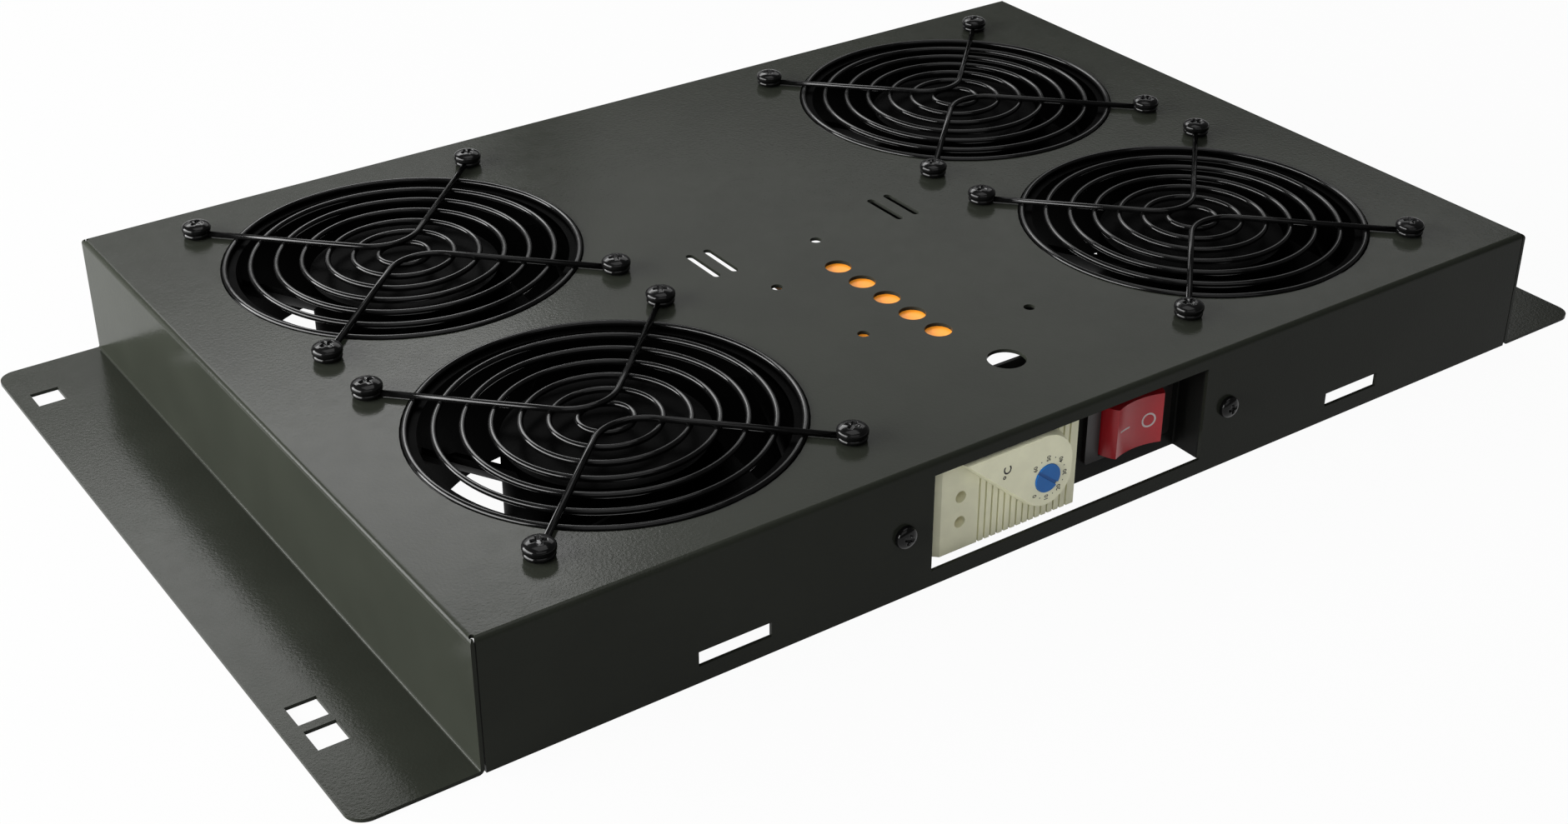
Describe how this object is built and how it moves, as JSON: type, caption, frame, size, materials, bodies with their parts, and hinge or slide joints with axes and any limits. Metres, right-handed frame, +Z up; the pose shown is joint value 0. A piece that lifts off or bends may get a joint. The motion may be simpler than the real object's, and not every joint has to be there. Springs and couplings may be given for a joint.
{
  "type": "rack fan tray",
  "caption": "Folded steel tray for a rack cabinet with axial fans under wire finger guards, a thermostat dial and a rocker switch behind a front window.",
  "frame": {"origin": "bottom centre of the whole part, on the plane of the flanges' undersides", "axes": "+X to the right along the front skirt, +Y from the front skirt to the rear one, +Z up through the top plate"},
  "size_m": [0.4854, 0.2844, 0.0492],
  "materials": {
    "tray_paint": "semi-gloss dark grey powder coat with a fine orange-peel texture",
    "accent_orange": "satin orange sheet",
    "fan_frame_paint": "satin black paint on a die-cast frame",
    "stator_steel": "dark laminations with a varnished winding",
    "impeller_plastic": "satin black moulding",
    "guard_wire": "gloss black coating on steel wire",
    "black_screw": "gloss black coating",
    "zinc_nut": "bright zinc plating",
    "terminal_moulding": "satin black moulding",
    "bracket_paint": "semi-gloss dark grey powder coat",
    "rail_zinc": "zinc-plated steel strip",
    "thermostat_shell": "satin warm beige moulding",
    "thermostat_back": "satin warm beige moulding",
    "dial_plastic": "blue moulding with a soft gloss",
    "terminal_brass": "plated brass screw heads",
    "switch_plastic": "satin black moulding",
    "rocker_plastic": "deep red moulding with a soft gloss",
    "tag_brass": "tin-plated brass tags"
  },
  "bodies": {
    "tray": {"accent_plate": "accent_orange", "bracket_nuts": "zinc_nut", "bracket_screws": "black_screw", "control_bracket": "bracket_paint", "fan_frame_front_left": "fan_frame_paint", "fan_frame_front_right": "fan_frame_paint", "fan_frame_rear_left": "fan_frame_paint", "fan_frame_rear_right": "fan_frame_paint", "fan_spider_front_left": "fan_frame_paint", "fan_spider_front_right": "fan_frame_paint", "fan_spider_rear_left": "fan_frame_paint", "fan_spider_rear_right": "fan_frame_paint", "fan_stator_front_left": "stator_steel", "fan_stator_front_right": "stator_steel", "fan_stator_rear_left": "stator_steel", "fan_stator_rear_right": "stator_steel", "fan_terminals": "terminal_moulding", "finger_guards": "guard_wire", "guard_nuts": "zinc_nut", "guard_screws": "black_screw", "mounting_rail": "rail_zinc", "rail_screw": "zinc_nut", "switch_body": "switch_plastic", "switch_terminals": "tag_brass", "terminal_screws": "terminal_brass", "thermostat_base": "thermostat_back", "thermostat_front": "thermostat_shell", "tray_body": "tray_paint"},
    "impeller_front_left": {"fan_impeller_front_left": "impeller_plastic"},
    "impeller_front_right": {"fan_impeller_front_right": "impeller_plastic"},
    "impeller_rear_left": {"fan_impeller_rear_left": "impeller_plastic"},
    "impeller_rear_right": {"fan_impeller_rear_right": "impeller_plastic"},
    "dial": {"thermostat_dial": "dial_plastic"},
    "rocker": {"switch_rocker": "rocker_plastic"}
  },
  "joints": [
    {"name": "fan_spin_front_left", "type": "hinge", "parent": "tray", "child": "impeller_front_left", "pos_m": [-0.11985, -0.064, 0.0235], "axis": [0, 0, 1], "continuous": true},
    {"name": "fan_spin_front_right", "type": "hinge", "parent": "tray", "child": "impeller_front_right", "pos_m": [0.11985, -0.064, 0.0235], "axis": [0, 0, 1], "continuous": true},
    {"name": "fan_spin_rear_left", "type": "hinge", "parent": "tray", "child": "impeller_rear_left", "pos_m": [-0.11985, 0.0685, 0.0235], "axis": [0, 0, 1], "continuous": true},
    {"name": "fan_spin_rear_right", "type": "hinge", "parent": "tray", "child": "impeller_rear_right", "pos_m": [0.11985, 0.0685, 0.0235], "axis": [0, 0, 1], "continuous": true},
    {"name": "dial_turn", "type": "hinge", "parent": "tray", "child": "dial", "pos_m": [-0.0106, -0.1395, 0.02215], "axis": [0, -1, 0], "range_deg": [-95.3, 175.7]},
    {"name": "rocker_tilt", "type": "hinge", "parent": "tray", "child": "rocker", "pos_m": [0.0334, -0.1257, 0.0221], "axis": [0, 0, 1], "range_deg": [-10, 10]}
  ]
}
